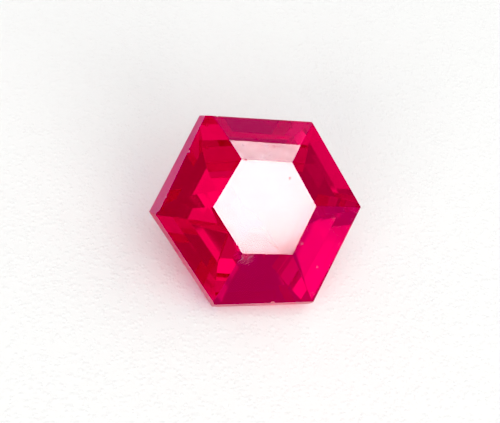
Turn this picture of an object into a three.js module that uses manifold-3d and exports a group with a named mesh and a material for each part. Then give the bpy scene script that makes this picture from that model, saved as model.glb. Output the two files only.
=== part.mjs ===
// A loose cut garnet: a hexagonal step cut with one large table, a single row of crown facets, an
// uneven girdle and a pavilion in three steps that closes to a point.
//
// Millimetres, +Z up. The stone lies on one facet of its pavilion, as a loose stone does, so its
// table leans towards -Y. The origin is at the bottom centre of the stone's box as it lies.
//
// The stone is cut in a frame of its own, with the table up and Z = 0 at the girdle's upper edge,
// and is laid down afterwards. Its six sides run clockwise seen from the table, starting at +Y.

import * as THREE from "three";
import { mergeVertices } from "three/addons/utils/BufferGeometryUtils.js";
import Module from "manifold-3d";

// Driving dimensions.
const ACROSS_CORNERS = 10.4;
const CROWN_HEIGHT = 1.6;
const GIRDLE_THICKNESS = 0.88;
const TABLE_SHARE = 0.48; // of the girdle's width
const SIDE_COUNT = 6;
const RESTING_SIDE = 3;
const RESTING_STEP = 2; // of the pavilion, counted from 0 at the girdle

const HALF_WIDTH = (ACROSS_CORNERS / 2) * Math.cos(Math.PI / SIDE_COUNT);

// Each step of the pavilion: its angle to the girdle plane, and the share of the half width at
// which it begins.
const PAVILION_STEPS = [
  { angle: 42.0, begins: 1.0 },
  { angle: 36.2, begins: 0.66 },
  { angle: 34.1, begins: 0.45 },
];

// The stone was cut by hand. These are the small errors of each side, in the order of the sides:
// turns, leans and tilts in degrees, distances in millimetres.
const GIRDLE_TURN = [3.1, -0.3, -1.1, 0.5, -2.3, -1.4];
const GIRDLE_SHIFT = [-0.02, -0.05, -0.09, 0.02, -0.05, 0.02];
const GIRDLE_LEAN = [5, 8, 8, 13, 9, 20];
const GIRDLE_EXTRA = [-0.18, -0.06, -0.16, 0.03, -0.09, 0.1];
const TABLE_TURN = [3.8, 1.2, -2.2, 2.9, -1.8, 2.3];
const TABLE_SHIFT = [0.16, -0.08, -0.22, -0.09, 0.05, 0.24];
const PAVILION_TURN = [1.4, -0.2, 1.3, -2.1, -1.4, -0.1];
const PAVILION_TILT = [
  [0.3, 0.4, -0.1, -2.6, 0.3, 0.9],
  [-3.2, 0.8, 1.8, -0.7, 1.2, -1.7],
  [-0.8, 0.2, 2.8, 1.4, -1.8, -3.4],
];

// The crown facet that was polished twice: the share of its width, from the table, that is a little
// flatter than the rest, and the angle between the two.
const CROWN_BREAK = { side: 0, share: 0.42, angle: 1.5 };

// Bites out of the girdle's upper edge: the side, the distance along it from its middle, and the
// radius of the shell-shaped break.
const CHIPS = [
  { side: 3, along: 0.49, radius: 0.13 },
  { side: 5, along: -0.85, radius: 0.1 },
  { side: 5, along: 1.63, radius: 0.09 },
  { side: 0, along: 2.4, radius: 0.07 },
];
const CHIP_STANDOFF = 0.45; // of its radius, how far the break's centre lies outside the edge

const wasm = await Module();
wasm.setup();

/** The direction, in the girdle plane, that a side faces after a turn of some degrees. */
function outward(side, turn) {
  const heading = THREE.MathUtils.degToRad(90 - (360 / SIDE_COUNT) * side - turn);
  return new THREE.Vector3(Math.cos(heading), Math.sin(heading), 0);
}

/** The distance from the stone's axis to the upper girdle edge of a side. */
function girdleReach(side) {
  return HALF_WIDTH + GIRDLE_SHIFT[side];
}

/** The point at a reach along a direction of the girdle plane, and at a height. */
function pointAt(facing, reach, height) {
  return facing.clone().multiplyScalar(reach).setZ(height);
}

/** A facet through a point: it faces outward, at an angle to the girdle plane, above or below. */
function facetPlane(facing, angle, isAbove, point) {
  const tilt = THREE.MathUtils.degToRad(angle);
  const rise = isAbove ? Math.cos(tilt) : -Math.cos(tilt);
  const normal = pointAt(facing, Math.sin(tilt), rise);
  return new THREE.Plane().setFromNormalAndCoplanarPoint(normal, point);
}

/** The girdle face of a side, which leans out below the upper girdle edge. */
function girdlePlane(side) {
  const facing = outward(side, GIRDLE_TURN[side]);
  const edge = pointAt(facing, girdleReach(side), 0);
  return facetPlane(facing, 90 - GIRDLE_LEAN[side], true, edge);
}

/** The crown facets of a side, from the table down: one, or two that meet in a faint ridge. */
function crownPlanes(side) {
  const facing = outward(side, TABLE_TURN[side]);
  const tableReach = HALF_WIDTH * TABLE_SHARE + TABLE_SHIFT[side];
  const tableEdge = pointAt(facing, tableReach, CROWN_HEIGHT);
  const girdleEdge = pointAt(facing, girdleReach(side), 0);
  const run = girdleReach(side) - tableReach;
  const angle = THREE.MathUtils.radToDeg(Math.atan2(CROWN_HEIGHT, run));
  if (side !== CROWN_BREAK.side) return [facetPlane(facing, angle, true, tableEdge)];
  const flatter = angle - CROWN_BREAK.angle * (1 - CROWN_BREAK.share);
  const steeper = angle + CROWN_BREAK.angle * CROWN_BREAK.share;
  return [
    facetPlane(facing, flatter, true, tableEdge),
    facetPlane(facing, steeper, true, girdleEdge),
  ];
}

/** The facets of one side of the pavilion, from the girdle down to the point. */
function pavilionPlanes(side) {
  const facing = outward(side, GIRDLE_TURN[side] + PAVILION_TURN[side]);
  let reach = girdleReach(side);
  let height = -(GIRDLE_THICKNESS + GIRDLE_EXTRA[side]);
  let slope = 0;
  return PAVILION_STEPS.map((step, index) => {
    const start = girdleReach(side) * step.begins;
    height -= (reach - start) * slope;
    reach = start;
    const angle = step.angle + PAVILION_TILT[index][side];
    slope = Math.tan(THREE.MathUtils.degToRad(angle));
    return facetPlane(facing, angle, false, pointAt(facing, reach, height));
  });
}

/** The faces of a block, as loops of corners anticlockwise seen from outside. */
function blockLoops(size) {
  const half = size / 2;
  const loops = [];
  for (const axis of [0, 1, 2]) {
    for (const sign of [-1, 1]) {
      const ring = [[-1, -1], [1, -1], [1, 1], [-1, 1]].map(([u, v]) => {
        const corner = new THREE.Vector3();
        corner.setComponent(axis, sign * half);
        corner.setComponent((axis + 1) % 3, u * half);
        corner.setComponent((axis + 2) % 3, v * half);
        return corner;
      });
      loops.push(sign > 0 ? ring : ring.reverse());
    }
  }
  return loops;
}

/** A loop through points of one plane, anticlockwise round the plane's normal. */
function loopAround(points, normal) {
  const centre = new THREE.Vector3();
  points.forEach((point) => centre.addScaledVector(point, 1 / points.length));
  const first = points[0].clone().sub(centre).normalize();
  const second = normal.clone().cross(first);
  const bearing = (point) => {
    const arm = point.clone().sub(centre);
    return Math.atan2(arm.dot(second), arm.dot(first));
  };
  const sorted = [...points].sort((a, b) => bearing(a) - bearing(b));
  const apart = (point, index) => point.distanceTo(sorted.at(index - 1)) > 1e-6;
  return sorted.filter(apart);
}

/** Grinds a facet: cuts away what lies in front of a plane, and closes the cut with a face. */
function grind(loops, plane) {
  const kept = [];
  const rim = [];
  for (const loop of loops) {
    const rest = [];
    loop.forEach((corner, index) => {
      const next = loop[(index + 1) % loop.length];
      const here = plane.distanceToPoint(corner);
      const there = plane.distanceToPoint(next);
      if (here <= 0) rest.push(corner);
      if (here * there < 0) {
        const crossing = corner.clone().lerp(next, here / (here - there));
        rest.push(crossing);
        rim.push(crossing);
      }
    });
    if (rest.length > 2) kept.push(rest);
  }
  if (rim.length > 2) kept.push(loopAround(rim, plane.normal));
  return kept;
}

/** A geometry with the given flat faces, each cut into a fan of triangles. */
function geometryOf(loops) {
  const corners = [];
  for (const loop of loops) {
    for (let i = 1; i < loop.length - 1; i++) {
      corners.push(loop[0], loop[i], loop[i + 1]);
    }
  }
  return new THREE.BufferGeometry().setFromPoints(corners);
}

/** A closed geometry as a solid that can be cut. */
function solidOf(geometry) {
  const bare = new THREE.BufferGeometry();
  bare.setAttribute("position", geometry.getAttribute("position"));
  const merged = mergeVertices(bare, 1e-5);
  return new wasm.Manifold(
    new wasm.Mesh({
      numProp: 3,
      vertProperties: new Float32Array(merged.getAttribute("position").array),
      triVerts: new Uint32Array(merged.index.array),
    }),
  );
}

/** The point of a side's upper girdle edge at a distance along it from its middle. */
function girdleEdgePoint(side, along) {
  const facing = outward(side, GIRDLE_TURN[side]);
  const sideways = new THREE.Vector3(-facing.y, facing.x, 0);
  const point = pointAt(facing, girdleReach(side), 0).addScaledVector(sideways, along);
  const crown = crownPlanes(side).at(-1);
  point.z = -crown.distanceToPoint(point) / crown.normal.z;
  return point;
}

/** The shell-shaped break of a chip, as a solid to cut away. */
function chipSolid({ side, along, radius }) {
  const away = outward(side, GIRDLE_TURN[side]).add(new THREE.Vector3(0, 0, 1)).normalize();
  const centre = girdleEdgePoint(side, along).addScaledVector(away, radius * CHIP_STANDOFF);
  const ball = new THREE.IcosahedronGeometry(radius, 2);
  ball.translate(centre.x, centre.y, centre.z);
  return solidOf(ball);
}

/** The whole stone in its own frame, table up. */
function cutStone() {
  let loops = blockLoops(ACROSS_CORNERS * 2);
  loops = grind(loops, new THREE.Plane(new THREE.Vector3(0, 0, 1), -CROWN_HEIGHT));
  for (let side = 0; side < SIDE_COUNT; side++) {
    for (const plane of [girdlePlane(side), ...crownPlanes(side), ...pavilionPlanes(side)]) {
      loops = grind(loops, plane);
    }
  }
  const whole = solidOf(geometryOf(loops));
  const chipped = CHIPS.reduce((stone, chip) => stone.subtract(chipSolid(chip)), whole);
  const mesh = chipped.getMesh();
  const geometry = new THREE.BufferGeometry();
  geometry.setAttribute("position", new THREE.BufferAttribute(mesh.vertProperties, 3));
  geometry.setIndex(new THREE.BufferAttribute(mesh.triVerts, 1));
  geometry.computeVertexNormals();
  return geometry;
}

const polishedGarnet = new THREE.MeshStandardMaterial({
  name: "garnet",
  color: 0xb5063f,
  roughness: 0.03,
  metalness: 0,
});

const garnet = new THREE.Mesh(cutStone(), polishedGarnet);
garnet.name = "garnet";

// A pointed stone comes to rest on a facet near its point.
const restingNormal = pavilionPlanes(RESTING_SIDE)[RESTING_STEP].normal;
garnet.quaternion.setFromUnitVectors(restingNormal, new THREE.Vector3(0, 0, -1));

const lying = new THREE.Box3().setFromObject(garnet, true);
const middle = lying.getCenter(new THREE.Vector3());
garnet.position.set(-middle.x, -middle.y, -lying.min.z);

const part = new THREE.Group();
part.name = "cut_garnet";
part.add(garnet);

export default part;
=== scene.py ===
"""A loose cut garnet, lying on one facet of its pavilion on a pale liner, in soft studio light.

Metres, in the frame of the solid: +Z up, the stone's box centred over the origin. Places on the
stone are given in millimetres and directions in the room by azimuth and elevation.
"""

import logging
import math
from dataclasses import dataclass, field
from enum import Enum
from typing import Any

import bmesh
import bpy
from mathutils import Matrix, Vector


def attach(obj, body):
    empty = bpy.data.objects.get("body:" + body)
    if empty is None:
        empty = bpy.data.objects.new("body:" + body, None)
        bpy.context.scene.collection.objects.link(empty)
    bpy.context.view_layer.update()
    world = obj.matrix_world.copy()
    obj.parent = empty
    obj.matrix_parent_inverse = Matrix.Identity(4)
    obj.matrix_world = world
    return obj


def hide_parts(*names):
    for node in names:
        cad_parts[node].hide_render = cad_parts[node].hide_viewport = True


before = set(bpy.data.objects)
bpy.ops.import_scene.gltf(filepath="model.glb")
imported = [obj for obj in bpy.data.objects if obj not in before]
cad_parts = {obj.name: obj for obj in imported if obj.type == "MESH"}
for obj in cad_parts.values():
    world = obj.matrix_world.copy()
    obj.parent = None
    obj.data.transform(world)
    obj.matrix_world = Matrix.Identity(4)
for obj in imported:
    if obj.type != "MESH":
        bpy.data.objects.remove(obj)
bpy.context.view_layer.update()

MM = 0.001
BODY = "root"
FINISH_LAYER = "finish"

Colour = tuple[float, float, float]
Place = tuple[float, float, float]
Socket = bpy.types.NodeSocket
Source = Socket | float | tuple[float, ...]

log = logging.getLogger("garnet")


def direction(azimuth: float, elevation: float) -> Vector:
    """The unit vector towards a place in the room.

    Args:
        azimuth: Degrees from +Y towards +X.
        elevation: Degrees above the floor.

    Returns:
        The direction, from the stone outwards.
    """
    turn = math.radians(azimuth)
    rise = math.radians(elevation)
    flat = math.cos(rise)
    return Vector((math.sin(turn) * flat, math.cos(turn) * flat, math.sin(rise)))


@dataclass
class Graph:
    """A node tree that is being filled."""

    tree: bpy.types.NodeTree

    def add(self, kind: str, **settings: Any) -> bpy.types.Node:
        """Adds a node.

        Args:
            kind: The node's type without its "ShaderNode" prefix.
            **settings: Properties of the node.

        Returns:
            The new node.
        """
        node = self.tree.nodes.new(f"ShaderNode{kind}")
        for name, value in settings.items():
            setattr(node, name, value)
        return node

    def feed(self, node: bpy.types.Node, socket: str | int, source: Source) -> None:
        """Feeds a socket with another node's output, or with a plain value.

        Args:
            node: The node that is fed.
            socket: The input's name or number.
            source: An output socket, a number or a tuple.
        """
        entry = node.inputs[socket]
        if isinstance(source, Socket):
            self.tree.links.new(source, entry)
        else:
            entry.default_value = source

    def math(self, operation: str, *values: Source) -> Socket:
        """Adds a sum, product or other simple operation.

        Args:
            operation: The operation's name.
            *values: Its operands, as sockets or numbers.

        Returns:
            The result's socket.
        """
        node = self.add("Math", operation=operation)
        for number, value in enumerate(values):
            self.feed(node, number, value)
        return node.outputs[0]

    def highest(self, *values: Socket) -> Socket:
        """Takes the highest of several values.

        Args:
            *values: The values' sockets.

        Returns:
            The highest value's socket.
        """
        highest, *others = values
        for value in others:
            highest = self.math("MAXIMUM", highest, value)
        return highest

    def ramp(
        self, value: Source, start: Source, end: Source, low: float = 0.0, high: float = 1.0
    ) -> Socket:
        """Goes from low to high while a value goes from start to end, and stays level beyond them.

        Args:
            value: The value's socket.
            start: Where the ramp starts, as a socket or number.
            end: Where it ends, as a socket or number.
            low: What it is up to the start.
            high: What it is from the end on.

        Returns:
            The ramp's socket.
        """
        node = self.add("MapRange", clamp=True)
        self.feed(node, "Value", value)
        self.feed(node, "From Min", start)
        self.feed(node, "From Max", end)
        self.feed(node, "To Min", low)
        self.feed(node, "To Max", high)
        return node.outputs["Result"]

    def scaled(self, place: Socket, factors: Place) -> Socket:
        """Stretches or mirrors a place along the axes.

        Args:
            place: The place's socket.
            factors: The factor for each axis.

        Returns:
            The new place's socket.
        """
        node = self.add("VectorMath", operation="MULTIPLY")
        self.feed(node, 0, place)
        self.feed(node, 1, factors)
        return node.outputs["Vector"]

    def spot(
        self, place: Socket, centre: Place, radius: float, heart: float, height: float
    ) -> Socket:
        """Marks a round spot.

        Args:
            place: The place's socket.
            centre: The spot's centre, in millimetres.
            radius: The spot's radius, in millimetres.
            heart: The share of the radius within which the mark has its full height.
            height: The mark in the heart, from where it falls to 0 at the rim.

        Returns:
            The mark's socket.
        """
        away = self.add("VectorMath", operation="DISTANCE")
        self.feed(away, 0, place)
        self.feed(away, 1, tuple(part * MM for part in centre))
        return self.ramp(away.outputs["Value"], heart * radius * MM, radius * MM, height, 0.0)

    def blend(self, share: Socket, first: Colour, second: Colour) -> Socket:
        """Blends two colours.

        Args:
            share: The second colour's share.
            first: The first colour.
            second: The second colour.

        Returns:
            The blend's socket.
        """
        node = self.add("Mix", data_type="RGBA")
        entries = [entry for entry in node.inputs if entry.type == "RGBA"]
        self.feed(node, "Factor", share)
        for entry, colour in zip(entries, (first, second), strict=True):
            entry.default_value = (*colour, 1)
        return next(leave for leave in node.outputs if leave.type == "RGBA")

    def group(self, tree: bpy.types.NodeTree, **values: Source) -> bpy.types.Node:
        """Adds an effect that is shared between materials.

        Args:
            tree: The effect's node group.
            **values: Its inputs by name, as sockets or values.

        Returns:
            The group's node.
        """
        node = self.add("Group", node_tree=tree)
        for name, value in values.items():
            self.feed(node, name, value)
        return node


class Effect:
    """A shader node group that is built once and used by more than one finish."""

    name: str = "effect"
    inputs: dict[str, str] = {}
    output: str = "Mask"

    @classmethod
    def tree(cls) -> bpy.types.NodeTree:
        """Builds the effect's group when it is first asked for.

        Returns:
            The group.
        """
        known = bpy.data.node_groups.get(cls.name)
        if known is not None:
            return known
        tree = bpy.data.node_groups.new(cls.name, "ShaderNodeTree")
        for name, kind in cls.inputs.items():
            tree.interface.new_socket(name, in_out="INPUT", socket_type=kind)
        tree.interface.new_socket(cls.output, in_out="OUTPUT", socket_type="NodeSocketFloat")
        graph = Graph(tree)
        entry = tree.nodes.new("NodeGroupInput")
        leave = tree.nodes.new("NodeGroupOutput")
        graph.feed(leave, 0, cls.fill(graph, entry.outputs))
        return tree

    @classmethod
    def fill(cls, graph: Graph, given: bpy.types.bpy_prop_collection) -> Socket:
        """Builds the inside of the group.

        Args:
            graph: The group's tree.
            given: The group's inputs by name.

        Returns:
            The socket of the effect's output.
        """
        raise NotImplementedError


class Mottle(Effect):
    """Soft cloudy patches, from 0 between them to 1 inside them."""

    name = "mottle"
    inputs = {"Place": "NodeSocketVector", "Scale": "NodeSocketFloat", "Edge": "NodeSocketFloat"}
    detail: float = 5.0
    raggedness: float = 0.62
    middle: float = 0.5

    @classmethod
    def fill(cls, graph: Graph, given: bpy.types.bpy_prop_collection) -> Socket:
        """Clips a cloud of noise between two levels that lie the edge apart.

        Args:
            graph: The group's tree.
            given: The group's inputs by name.

        Returns:
            The patches' socket.
        """
        noise = graph.add("TexNoise")
        graph.feed(noise, "Vector", given["Place"])
        graph.feed(noise, "Scale", given["Scale"])
        graph.feed(noise, "Detail", cls.detail)
        graph.feed(noise, "Roughness", cls.raggedness)
        half = graph.math("MULTIPLY", given["Edge"], 0.5)
        low = graph.math("SUBTRACT", cls.middle, half)
        high = graph.math("ADD", cls.middle, half)
        return graph.ramp(noise.outputs["Fac"], low, high)


class Specks(Effect):
    """Scattered small round specks: 1 at the middle of each and 0 outside."""

    name = "specks"
    inputs = {"Place": "NodeSocketVector", "Scale": "NodeSocketFloat", "Size": "NodeSocketFloat"}
    least_reach: float = 1e-4

    @classmethod
    def fill(cls, graph: Graph, given: bpy.types.bpy_prop_collection) -> Socket:
        """Keeps the heart of each cell, in a size of its own.

        Args:
            graph: The group's tree.
            given: The group's inputs by name.

        Returns:
            The specks' socket.
        """
        cells = graph.add("TexVoronoi", feature="F1")
        graph.feed(cells, "Vector", given["Place"])
        graph.feed(cells, "Scale", given["Scale"])
        own = graph.add("SeparateColor")
        graph.feed(own, "Color", cells.outputs["Color"])
        share = graph.math("MULTIPLY", given["Size"], own.outputs["Red"])
        reach = graph.math("ADD", share, cls.least_reach)
        depth = graph.math("DIVIDE", cells.outputs["Distance"], reach)
        return graph.math("MAXIMUM", graph.math("SUBTRACT", 1.0, depth), 0.0)


class Zone(Enum):
    """The parts of the stone's surface, each with the roughness that it was left with.

    The roughness is written on the zone's faces and tells them apart, so no two zones share one.
    """

    TABLE = 0.105
    CROWN = 0.035
    TWICE_POLISHED = 0.24
    PAVILION = 0.02
    GIRDLE = 0.50
    EDGE = 0.06
    CHIP = 0.60

    @staticmethod
    def roughness(graph: Graph) -> Socket:
        """The roughness of the zone that a place lies in."""
        return graph.add("Attribute", attribute_name=FINISH_LAYER).outputs["Fac"]

    def mark(self, graph: Graph, tolerance: float = 0.001) -> Socket:
        """Marks the zone: 1 on its faces and 0 on all others."""
        return graph.math("COMPARE", Zone.roughness(graph), self.value, tolerance)


@dataclass(frozen=True)
class Pit:
    """A tiny pit in the polish, in millimetres."""

    place: Place
    radius: float


@dataclass(frozen=True)
class Polish:
    """The polish of every zone: drawn-out smears, small scuffs and a few pits."""

    smear_scale: float = 1100.0
    smear_stretch: Place = (1.0, 2.6, 1.0)
    smear_edge: float = 0.9
    smear_share: float = 0.36
    scuff_scale: float = 2600.0
    scuff_size: float = 0.10
    scuff_roughness: float = 0.06
    pit_heart: float = 0.7
    pit_roughness: float = 0.8
    pits: tuple[Pit, ...] = (
        Pit((-0.97, 0.77, 6.225), 0.070),
        Pit((-1.08, 0.79, 6.24), 0.045),
        Pit((1.164, 0.066, 5.677), 0.040),
        Pit((1.155, 0.010, 5.637), 0.036),
    )

    def roughness(self, graph: Graph, place: Socket) -> Socket:
        """Varies each zone's own roughness with smears and scuffs, and roughens the pits.

        Args:
            graph: The material's tree.
            place: The place on the stone.

        Returns:
            The roughness.
        """
        drawn = graph.scaled(place, self.smear_stretch)
        smears = graph.group(Mottle.tree(), Place=drawn, Scale=self.smear_scale, Edge=self.smear_edge)
        scuffs = graph.group(Specks.tree(), Place=place, Scale=self.scuff_scale, Size=self.scuff_size)
        share = self.smear_share
        swing = graph.math("MULTIPLY_ADD", smears.outputs[0], 2 * share, 1 - share)
        smeared = graph.math("MULTIPLY", Zone.roughness(graph), swing)
        scuffed = graph.math("MULTIPLY_ADD", scuffs.outputs[0], self.scuff_roughness, smeared)
        pits = [
            graph.spot(place, pit.place, pit.radius, self.pit_heart, self.pit_roughness)
            for pit in self.pits
        ]
        return graph.highest(scuffed, *pits)


@dataclass(frozen=True)
class Grinding:
    """The fine grain of the ground girdle and of the broken chips."""

    scale: float = 16000.0
    edge: float = 0.8
    depth: float = 0.004 * MM

    def normal(self, graph: Graph, place: Socket) -> Socket:
        """Raises the grain as a bump.

        Args:
            graph: The material's tree.
            place: The place on the stone.

        Returns:
            The surface's direction.
        """
        grain = graph.group(Mottle.tree(), Place=place, Scale=self.scale, Edge=self.edge)
        ground = graph.math("ADD", Zone.GIRDLE.mark(graph), Zone.CHIP.mark(graph))
        bump = graph.add("Bump")
        graph.feed(bump, "Strength", 1.0)
        graph.feed(bump, "Distance", self.depth)
        graph.feed(bump, "Height", graph.math("MULTIPLY", grain.outputs[0], ground))
        return bump.outputs["Normal"]


@dataclass(frozen=True)
class FrostAndPaintedSheen:
    """The pale, patchy frosting of the ground girdle. Its thickening from the girdle's back to its
    front is a painted sheen, standing in for the bright floor that the front of the girdle mirrors.
    """

    scale: float = 900.0
    edge: float = 0.6
    patchiness: float = 0.4
    back: float = 3.0 * MM
    front: float = -3.5 * MM
    rise: float = 2.0
    weights: tuple[float, float] = (0.16, 1.0)

    def weight(self, graph: Graph, place: Socket) -> Socket:
        """Frosts the girdle, and paints a sheen on it that grows towards its front.

        Args:
            graph: The material's tree.
            place: The place on the stone.

        Returns:
            How much of the pale coat shows.
        """
        clouds = graph.group(Mottle.tree(), Place=place, Scale=self.scale, Edge=self.edge)
        patchy = graph.math("MULTIPLY_ADD", clouds.outputs[0], self.patchiness, 1 - self.patchiness)
        parts = graph.add("SeparateXYZ")
        graph.feed(parts, "Vector", place)
        # Painted sheen: the coat grows from the girdle's back (+Y) to its front (-Y), standing in for
        # the mirrored bright floor.
        painted_sheen_ramp = graph.ramp(parts.outputs["Y"], self.back, self.front)
        least, most = self.weights
        share = graph.math("POWER", painted_sheen_ramp, self.rise)
        painted_sheen_spread = graph.math("MULTIPLY_ADD", share, most - least, least)
        frost_and_painted_sheen = graph.math("MULTIPLY", patchy, painted_sheen_spread)
        return graph.math("MULTIPLY", frost_and_painted_sheen, Zone.GIRDLE.mark(graph))


@dataclass(frozen=True)
class Haze:
    """The clouds on the twice polished facet, which is neither ground nor fully polished."""

    scale: float = 2600.0
    edge: float = 0.35
    weights: tuple[float, float] = (0.32, 0.80)

    def weight(self, graph: Graph, place: Socket) -> Socket:
        """Clouds the facet.

        Args:
            graph: The material's tree.
            place: The place on the stone.

        Returns:
            How much of the pale coat shows.
        """
        clouds = graph.group(Mottle.tree(), Place=place, Scale=self.scale, Edge=self.edge)
        least, most = self.weights
        cloudy = graph.math("MULTIPLY_ADD", clouds.outputs[0], most - least, least)
        return graph.math("MULTIPLY", cloudy, Zone.TWICE_POLISHED.mark(graph))


@dataclass(frozen=True)
class Rub:
    """A rubbed patch of the polish, in millimetres, and the haze between its scratches."""

    place: Place
    radius: float
    haze: float


@dataclass(frozen=True)
class Scratches:
    """Fine, broken, slightly wavy scratches, side by side in a few rubbed patches."""

    scale: float = 2100.0
    lean: Place = (-1.0, 1.0, 1.0)
    waviness: float = 4.0
    detail: float = 3.0
    detail_scale: float = 1.5
    crest: float = 0.8
    break_edge: float = 0.2
    rub_heart: float = 0.4
    rubs: tuple[Rub, ...] = (
        Rub((-1.05, -2.90, 3.50), 0.62, 0.20),
        Rub((1.73, -2.42, 3.71), 0.09, 0.8),
        Rub((2.71, -2.83, 2.26), 0.08, 0.8),
    )

    def weight(self, graph: Graph, place: Socket) -> Socket:
        """Rubs the patches: some haze, and the scratches that stand out of it.

        Args:
            graph: The material's tree.
            place: The place on the stone.

        Returns:
            How much of the pale coat shows.
        """
        hairs = self._hairs(graph, place)
        worn = []
        for rub in self.rubs:
            patch = graph.spot(place, rub.place, rub.radius, self.rub_heart, 1.0)
            pale = graph.math("MULTIPLY_ADD", hairs, 1 - rub.haze, rub.haze)
            worn.append(graph.math("MULTIPLY", patch, pale))
        return graph.highest(*worn)

    def _hairs(self, graph: Graph, place: Socket) -> Socket:
        """Draws the scratches.

        Args:
            graph: The material's tree.
            place: The place on the stone.

        Returns:
            The mark: 1 on a scratch and 0 between them.
        """
        waves = graph.add("TexWave", wave_type="BANDS", bands_direction="DIAGONAL")
        graph.feed(waves, "Vector", graph.scaled(place, self.lean))
        graph.feed(waves, "Scale", self.scale)
        graph.feed(waves, "Distortion", self.waviness)
        graph.feed(waves, "Detail", self.detail)
        graph.feed(waves, "Detail Scale", self.detail_scale)
        crests = graph.ramp(waves.outputs["Fac"], self.crest, 1.0)
        breaks = graph.group(Mottle.tree(), Place=place, Scale=2 * self.scale, Edge=self.break_edge)
        return graph.math("MULTIPLY", crests, breaks.outputs[0])


@dataclass(frozen=True)
class GarnetCrystal:
    """Clear raspberry-red crystal, with a pale coat where it isn't fully polished, thickened towards
    the girdle's front as a painted sheen.
    """

    name: str = "garnet_crystal"
    index: float = 1.752
    tint: Colour = (0.71, 0.40, 0.092)
    kept: Colour = (0.98, 0.10, 0.95)
    density: float = 600.0
    coat_roughness: float = 0.5
    coat_index: float = 3.0
    polish: Polish = field(default_factory=Polish)
    grinding: Grinding = field(default_factory=Grinding)
    frost_and_sheen: FrostAndPaintedSheen = field(default_factory=FrostAndPaintedSheen)
    haze: Haze = field(default_factory=Haze)
    scratches: Scratches = field(default_factory=Scratches)

    def material(self) -> bpy.types.Material:
        """Builds the crystal's material.

        Returns:
            The material, with its absorption as a plain volume.
        """
        material = bpy.data.materials.new(self.name)
        material.use_nodes = True
        graph = Graph(material.node_tree)
        shader = graph.tree.nodes["Principled BSDF"]
        output = graph.tree.nodes["Material Output"]
        graph.feed(shader, "Base Color", (*self.tint, 1))
        graph.feed(shader, "Metallic", 0.0)
        graph.feed(shader, "IOR", self.index)
        graph.feed(shader, "Transmission Weight", 1.0)
        graph.feed(shader, "Coat Roughness", self.coat_roughness)
        graph.feed(shader, "Coat IOR", self.coat_index)
        place = graph.add("TexCoord").outputs["Object"]
        graph.feed(shader, "Roughness", self.polish.roughness(graph, place))
        graph.feed(shader, "Coat Weight", self._coat(graph, place))
        graph.feed(shader, "Normal", self.grinding.normal(graph, place))
        absorption = graph.add("VolumeAbsorption")
        graph.feed(absorption, "Color", (*self.kept, 1))
        graph.feed(absorption, "Density", self.density)
        graph.feed(output, "Volume", absorption.outputs["Volume"])
        return material

    def _coat(self, graph: Graph, place: Socket) -> Socket:
        """Lays the pale coat on the girdle, with its painted sheen towards the front, and on the hazy
        facet, the rubbed patches and the chips.

        Args:
            graph: The material's tree.
            place: The place on the stone.

        Returns:
            How much of the coat shows.
        """
        return graph.highest(
            self.frost_and_sheen.weight(graph, place),
            self.haze.weight(graph, place),
            self.scratches.weight(graph, place),
            Zone.CHIP.mark(graph),
        )


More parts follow.
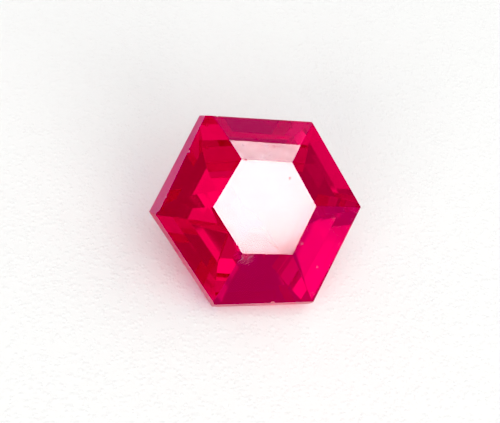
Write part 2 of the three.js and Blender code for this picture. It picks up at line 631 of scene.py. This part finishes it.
@dataclass
class CutStone:
    """The stone: flat facets that meet in edges a few microns round."""

    name: str = "cut_garnet"
    node: str = "garnet"
    slot: str = "garnet"
    weld: float = 1e-4 * MM
    edge_width: float = 0.007 * MM
    edge_segments: int = 2
    edge_profile: float = 0.5
    shortest_edge: float = 0.6 * MM
    smallest_facet: float = 0.05 * MM * MM
    flatness: float = 3e-4 * MM
    settling_rounds: int = 12
    least_fold: float = math.radians(1.2)
    faint_folds: tuple[float, float] = (math.radians(0.5), math.radians(3.0))
    girdle_slope: float = math.sin(math.radians(24))
    finish: GarnetCrystal = field(default_factory=GarnetCrystal)

    def build(self) -> bpy.types.Object:
        """Builds the stone from its solid.

        Returns:
            The stone's object.
        """
        mesh = bpy.data.meshes.new(self.name)
        shape = bmesh.new()
        shape.from_mesh(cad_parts[self.node].data)
        bmesh.ops.remove_doubles(shape, verts=shape.verts, dist=self.weld)
        layer = shape.faces.layers.float.new(FINISH_LAYER)
        facets = self._join_facets(shape)
        self._flatten(facets)
        for face in shape.faces:
            face[layer] = Zone.CHIP.value
        zones = self._zones(facets)
        for face, zone in zones.items():
            face[layer] = zone.value
        for face in self._round_edges(shape, zones):
            face[layer] = Zone.EDGE.value
        for face in shape.faces:
            face.smooth = False
        shape.to_mesh(mesh)
        shape.free()
        stone = bpy.data.objects.new(self.name, mesh)
        bpy.context.scene.collection.objects.link(stone)
        return stone

    def _join_facets(self, shape: bmesh.types.BMesh) -> list[bmesh.types.BMFace]:
        """Joins the triangles of each flat facet into one face.

        Args:
            shape: The stone in triangles.

        Returns:
            The facets, from the largest to the smallest; what is left is broken surface.
        """
        loose = sorted(shape.faces, key=lambda face: face.calc_area(), reverse=True)
        facets = []
        while loose and loose[0].calc_area() > self.smallest_facet:
            point, normal = loose[0].verts[0].co.copy(), loose[0].normal.copy()
            level = [
                face
                for face in loose
                if all(abs(normal.dot(vert.co - point)) < self.flatness for vert in face.verts)
            ]
            loose = [face for face in loose if face not in level]
            if len(level) > 1:
                level = bmesh.ops.dissolve_faces(shape, faces=level, use_verts=False)["region"]
            facets += level
        return sorted(facets, key=lambda face: face.calc_area(), reverse=True)

    def _flatten(self, facets: list[bmesh.types.BMFace]) -> None:
        """Moves the corners of the facets, by less than a micron, until each facet is flat.

        Args:
            facets: The facets of the stone.
        """
        planes = [(face, face.calc_center_median(), face.normal.copy()) for face in facets]
        for _ in range(self.settling_rounds):
            for face, point, normal in planes:
                for vert in face.verts:
                    vert.co -= normal * normal.dot(vert.co - point)

    def _zones(self, facets: list[bmesh.types.BMFace]) -> dict[bmesh.types.BMFace, Zone]:
        """Tells the zones of the surface apart by the slope of each facet.

        Args:
            facets: The facets, from the largest to the smallest.

        Returns:
            The zone of each facet.
        """
        table = facets[0]
        axis = table.normal.copy()
        zones: dict[bmesh.types.BMFace, Zone] = {}
        for face in facets:
            slope = face.normal.dot(axis)
            if face is table:
                zones[face] = Zone.TABLE
            elif abs(slope) < self.girdle_slope:
                zones[face] = Zone.GIRDLE
            elif slope < 0:
                zones[face] = Zone.PAVILION
            elif self._is_twice_polished(face, table):
                zones[face] = Zone.TWICE_POLISHED
            else:
                zones[face] = Zone.CROWN
        return zones

    def _is_twice_polished(self, face: bmesh.types.BMFace, table: bmesh.types.BMFace) -> bool:
        """Tells the twice polished face from the rest of the crown.

        Args:
            face: A face of the crown.
            table: The table.

        Returns:
            Whether the face lies at the table and meets another in a long, faint fold.
        """
        least, most = self.faint_folds
        at_table = any(table in edge.link_faces for edge in face.edges)
        broad = [
            edge
            for edge in face.edges
            if min(side.calc_area() for side in edge.link_faces) > self.smallest_facet
        ]
        return at_table and any(least < edge.calc_face_angle() < most for edge in broad)

    def _round_edges(
        self, shape: bmesh.types.BMesh, zones: dict[bmesh.types.BMFace, Zone]
    ) -> list[bmesh.types.BMFace]:
        """Rounds the long edges of the crown and the girdle; those of the back stay keen.

        Args:
            shape: The stone.
            zones: The zone of each facet.

        Returns:
            The new, narrow faces.
        """
        edges = [
            edge
            for edge in shape.edges
            if edge.is_manifold
            and edge.calc_length() > self.shortest_edge
            and edge.calc_face_angle() > self.least_fold
            and any(zones.get(face) is not Zone.PAVILION for face in edge.link_faces)
        ]
        rounded = bmesh.ops.bevel(
            shape,
            geom=edges,
            offset=self.edge_width,
            segments=self.edge_segments,
            profile=self.edge_profile,
            affect="EDGES",
            clamp_overlap=True,
        )
        return rounded["faces"]

    def dress(self, stone: bpy.types.Object) -> None:
        """Gives the stone its finish and its place in the frame.

        Args:
            stone: The stone's object.
        """
        stone.data.materials.append(self.finish.material())
        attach(stone, BODY)
        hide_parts(self.node)


@dataclass(frozen=True)
class PaleLiner:
    """The matt, nearly white surface that the stone lies on, with a faint sugary grain."""

    name: str = "pale_liner"
    colour: Colour = (0.90, 0.905, 0.895)
    shade: Colour = (0.875, 0.865, 0.85)
    shade_share: float = 0.35
    cloud_scale: float = 45.0
    cloud_edge: float = 0.9
    grain_scale: float = 5000.0
    grain_size: float = 0.9
    grain_depth: float = 0.017 * MM
    grain_strength: float = 0.8
    roughness: float = 0.9
    specular_level: float = 0.1

    def material(self) -> bpy.types.Material:
        """Builds the liner's material.

        Returns:
            The material.
        """
        material = bpy.data.materials.new(self.name)
        material.use_nodes = True
        graph = Graph(material.node_tree)
        shader = graph.tree.nodes["Principled BSDF"]
        place = graph.add("TexCoord").outputs["Object"]
        clouds = graph.group(Mottle.tree(), Place=place, Scale=self.cloud_scale, Edge=self.cloud_edge)
        grains = graph.group(Specks.tree(), Place=place, Scale=self.grain_scale, Size=self.grain_size)
        share = graph.math("MULTIPLY", clouds.outputs[0], self.shade_share)
        bump = graph.add("Bump")
        graph.feed(bump, "Strength", self.grain_strength)
        graph.feed(bump, "Distance", self.grain_depth)
        graph.feed(bump, "Height", grains.outputs[0])
        graph.feed(shader, "Base Color", graph.blend(share, self.colour, self.shade))
        graph.feed(shader, "Normal", bump.outputs["Normal"])
        graph.feed(shader, "Roughness", self.roughness)
        graph.feed(shader, "Specular IOR Level", self.specular_level)
        return material


@dataclass
class Floor:
    """A plain floor just under the stone."""

    half_width: float = 1.2
    gap: float = 0.004 * MM
    finish: PaleLiner = field(default_factory=PaleLiner)

    def build(self) -> bpy.types.Object:
        """Builds the floor.

        Returns:
            The floor's object.
        """
        mesh = bpy.data.meshes.new("floor")
        half = self.half_width
        corners = [(-half, -half), (half, -half), (half, half), (-half, half)]
        mesh.from_pydata([(x, y, -self.gap) for x, y in corners], [], [(0, 1, 2, 3)])
        floor = bpy.data.objects.new("floor", mesh)
        bpy.context.scene.collection.objects.link(floor)
        return floor

    def dress(self, floor: bpy.types.Object) -> None:
        """Gives the floor its finish.

        Args:
            floor: The floor's object.
        """
        floor.data.materials.append(self.finish.material())


class Duty(Enum):
    """What a soft box lights, by the rays that see it: THROUGH is the stone's inside and the floor."""

    INSIDE = ("transmission",)
    SURFACE = ("glossy",)
    FLOOR = ("diffuse",)
    THROUGH = ("transmission", "diffuse")


@dataclass(frozen=True)
class SoftBox:
    """A soft lamp, far enough away to look the same from all of the stone.

    Its place, half width and half height are in degrees as the stone sees them, its distance is in
    metres, and its strength is its radiance.
    """

    azimuth: float
    elevation: float
    strength: float
    duty: Duty = Duty.INSIDE
    half_width: float = 12.0
    half_height: float = 12.0
    distance: float = 0.6
    colour: Colour = (1.0, 1.0, 1.0)

    def build(self, name: str) -> bpy.types.Object:
        """Builds the lamp, facing the stone.

        Args:
            name: The lamp's name.

        Returns:
            The lamp's object.
        """
        data = bpy.data.lights.new(name, "AREA")
        data.shape = "ELLIPSE"
        data.size = 2 * self.distance * math.tan(math.radians(self.half_width))
        data.size_y = 2 * self.distance * math.tan(math.radians(self.half_height))
        data.color = self.colour
        area = math.pi * data.size * data.size_y / 4
        data.energy = math.pi * self.strength * area
        lamp = bpy.data.objects.new(name, data)
        towards = direction(self.azimuth, self.elevation)
        lamp.location = towards * self.distance
        lamp.rotation_euler = (-towards).to_track_quat("-Z", "Y").to_euler()
        lamp.visible_camera = False
        lamp.visible_transmission = "transmission" in self.duty.value
        lamp.visible_glossy = "glossy" in self.duty.value
        lamp.visible_diffuse = "diffuse" in self.duty.value
        bpy.context.scene.collection.objects.link(lamp)
        return lamp


@dataclass
class Studio:
    """The light of the room: an even glow and soft boxes."""

    glow: float = 0.58
    boxes: tuple[SoftBox, ...] = (
        # Seen only through the stone, whose facets they fill with red.
        SoftBox(270, 38, 3.34),
        SoftBox(315, 19, 2.62),
        SoftBox(327, 6, 2.42),
        SoftBox(52, 4, 1.87),
        SoftBox(347, 14, 1.87),
        SoftBox(335, 27, 1.41),
        SoftBox(2, 68, 1.20),
        SoftBox(47, 39, 1.14),
        SoftBox(355, 35, 0.72),
        SoftBox(157, 10, 0.55),
        SoftBox(225, 65, 0.47),
        # Seen through the stone too, and on the floor.
        SoftBox(152, 47, 0.92, Duty.THROUGH),
        SoftBox(120, 54, 0.75, Duty.THROUGH),
        SoftBox(125, 30, 0.66, Duty.THROUGH),
        SoftBox(132, 37, 0.57, Duty.THROUGH),
        SoftBox(145, 23, 0.51, Duty.THROUGH),
        SoftBox(87, 63, 0.37, Duty.THROUGH),
        # On the floor alone.
        SoftBox(150, 50, 0.3, Duty.FLOOR, 18.0, 18.0),
        SoftBox(95, 35, 0.6, Duty.FLOOR, 18.0, 18.0),
        SoftBox(60, 45, 1.2, Duty.FLOOR, 18.0, 18.0),
        SoftBox(160, 20, 4.0, Duty.FLOOR, 24.0, 14.0),
        SoftBox(215, 20, 4.0, Duty.FLOOR, 24.0, 14.0),
        SoftBox(0, 84, 0.3, Duty.FLOOR, 18.0, 18.0),
        # In the surface alone; the last one gives the ground girdle its mauve.
        SoftBox(156.0, 53.9, 13.4, Duty.SURFACE, 5.2, 4.4),
        SoftBox(25.5, 49.3, 11.7, Duty.SURFACE, 7.5, 4.5),
        SoftBox(24.0, 39.0, 0.66, Duty.SURFACE, 16.0, 6.0),
        SoftBox(322.0, 8.0, 1.8, Duty.SURFACE, 14.0, 8.0, colour=(1.0, 0.85, 3.4)),
    )

    def build(self) -> None:
        """Builds the room's glow and its soft boxes."""
        world = bpy.data.worlds.new("studio")
        bpy.context.scene.world = world
        world.use_nodes = True
        background = world.node_tree.nodes["Background"]
        background.inputs["Color"].default_value = (1, 1, 1, 1)
        background.inputs["Strength"].default_value = self.glow
        for number, box in enumerate(self.boxes):
            box.build(f"soft_box_{number:02d}")


@dataclass
class Viewpoint:
    """Where the stone is seen from: the camera looks towards an azimuth and down by an elevation."""

    azimuth: float = 19.73
    elevation: float = 52.62
    roll: float = 14.69
    distance: float = 46.8 * MM
    lens: float = 68.95
    aim: Place = (-0.451 * MM, -0.213 * MM, 3.386 * MM)
    nearest: float = 1 * MM
    farthest: float = 10.0

    def build(self) -> bpy.types.Object:
        """Builds the camera.

        Returns:
            The camera's object.
        """
        data = bpy.data.cameras.new("camera")
        data.lens = self.lens
        data.clip_start = self.nearest
        data.clip_end = self.farthest
        camera = bpy.data.objects.new("camera", data)
        bpy.context.scene.collection.objects.link(camera)
        backwards = direction(self.azimuth + 180, self.elevation)
        look = (-backwards).to_track_quat("-Z", "Y").to_matrix()
        turned = look @ Matrix.Rotation(math.radians(self.roll), 3, "Z")
        camera.matrix_world = Matrix.Translation(
            Vector(self.aim) + backwards * self.distance
        ) @ turned.to_4x4()
        bpy.context.scene.camera = camera
        return camera


@dataclass
class Development:
    """How the picture is traced and developed."""

    bounces: int = 32
    diffuse_bounces: int = 4
    black: Colour = (0.05, 0.10, 0.060)

    def apply(self) -> None:
        """Sets the scene up for clear stone and a bright, plain picture."""
        scene = bpy.context.scene
        cycles = scene.cycles
        cycles.max_bounces = self.bounces
        cycles.transmission_bounces = self.bounces
        cycles.glossy_bounces = self.bounces
        cycles.diffuse_bounces = self.diffuse_bounces
        cycles.sample_clamp_indirect = 0.0
        cycles.blur_glossy = 0.0
        cycles.caustics_reflective = True
        cycles.caustics_refractive = True
        view = scene.view_settings
        view.view_transform = "Standard"
        view.use_curve_mapping = True
        view.curve_mapping.black_level = self.black
        view.curve_mapping.update()


def main() -> None:
    """Builds the stone, the floor, the light and the camera in order."""
    logging.basicConfig(level=logging.INFO, format="%(message)s")
    Development().apply()
    stone = CutStone()
    piece = stone.build()
    stone.dress(piece)
    log.info("stone: %d faces", len(piece.data.polygons))
    floor = Floor()
    floor.dress(floor.build())
    log.info("floor laid")
    studio = Studio()
    studio.build()
    log.info("studio lit with %d soft boxes", len(studio.boxes))
    Viewpoint().build()
    log.info("camera placed")


if __name__ == "__main__":
    main()
